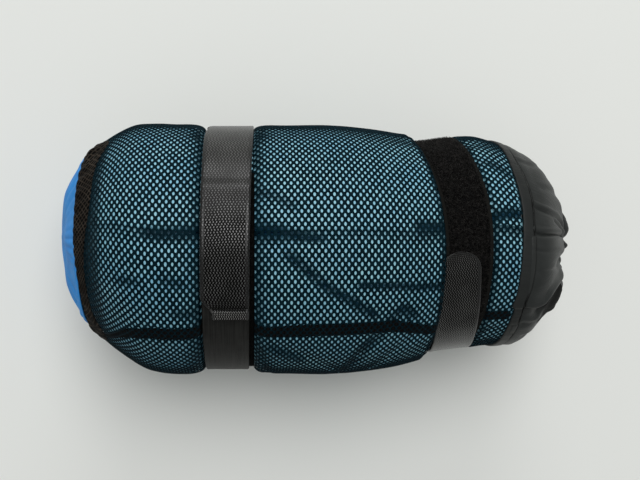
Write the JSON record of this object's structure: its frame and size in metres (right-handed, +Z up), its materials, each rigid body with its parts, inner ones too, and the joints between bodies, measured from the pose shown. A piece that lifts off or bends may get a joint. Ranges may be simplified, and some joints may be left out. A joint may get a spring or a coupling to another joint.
{
  "type": "packed inflatable sleeping mat",
  "caption": "Self-inflating sleeping mat folded and rolled in a mesh sack with a gathered mouth and hook-and-loop straps.",
  "frame": {"origin": "centre of the bounding box's base, on the surface that the packed mat lies on", "axes": "+X along the roll towards the sack's mouth, -Y to the front where the side seam and the tabs' free ends face, +Z up"},
  "size_m": [0.3092, 0.1516, 0.1478],
  "materials": {
    "mesh_netting": "black knitted mesh over a light blue mat",
    "blue_weave": "plain woven polyester",
    "black_binding": "matt folded binding tape",
    "charcoal_weave": "smooth woven polyester",
    "loop_pile": "fuzzy loop pile",
    "plain_webbing": "smooth flat webbing",
    "hook_tape_back": "zigzag woven back of hook tape",
    "mat_skin": "coated woven polyester",
    "open_cell_foam": "open-cell foam, pressed flat",
    "valve_plastic": "moulded, matt",
    "valve_rubber": "moulded rubber"
  },
  "bodies": {
    "packed_mat": {"sack_mesh_body": "mesh_netting", "side_seam": "black_binding", "sack_end_panel": "blue_weave", "end_seam_binding": "black_binding", "sack_collar": "charcoal_weave", "collar_seam_band": "charcoal_weave", "collar_side_lap": "charcoal_weave", "mouth_hem": "charcoal_weave", "left_strap_loop_tape": "loop_pile", "left_strap_webbing": "plain_webbing", "right_strap_loop_tape": "loop_pile", "right_strap_webbing": "plain_webbing", "mat_lower_skin": "mat_skin", "mat_foam_core": "open_cell_foam", "mat_upper_skin": "mat_skin", "valve_body": "valve_plastic"},
    "left_tab": {"left_strap_hook_tab": "hook_tape_back"},
    "right_tab": {"right_strap_hook_tab": "hook_tape_back"},
    "plug": {"valve_plug": "valve_plastic", "valve_seal": "valve_rubber"},
    "cap": {"valve_cap": "valve_plastic"}
  },
  "joints": [
    {"name": "left_tab_peel", "type": "hinge", "parent": "packed_mat", "child": "left_tab", "pos_m": [-0.0525, 0.07238, 0.08476], "axis": [-1, 0, 0], "range_deg": [0, 100]},
    {"name": "right_tab_peel", "type": "hinge", "parent": "packed_mat", "child": "right_tab", "pos_m": [0.0775, -0.06061, 0.05622], "axis": [1, 0, 0], "range_deg": [0, 110]},
    {"name": "valve_plug_slide", "type": "slide", "parent": "packed_mat", "child": "plug", "axis": [0.9837, -0.1274, -0.1269], "range_m": [0, 0.0034]},
    {"name": "valve_cap_twist", "type": "hinge", "parent": "plug", "child": "cap", "pos_m": [0.10115, 0.03776, 0.09492], "axis": [0.9837, -0.1274, -0.1269], "range_deg": [0, 540]}
  ],
  "couplings": [
    {"joint": "valve_plug_slide", "follows": "valve_cap_twist", "m_per_rad": 0.000318}
  ]
}
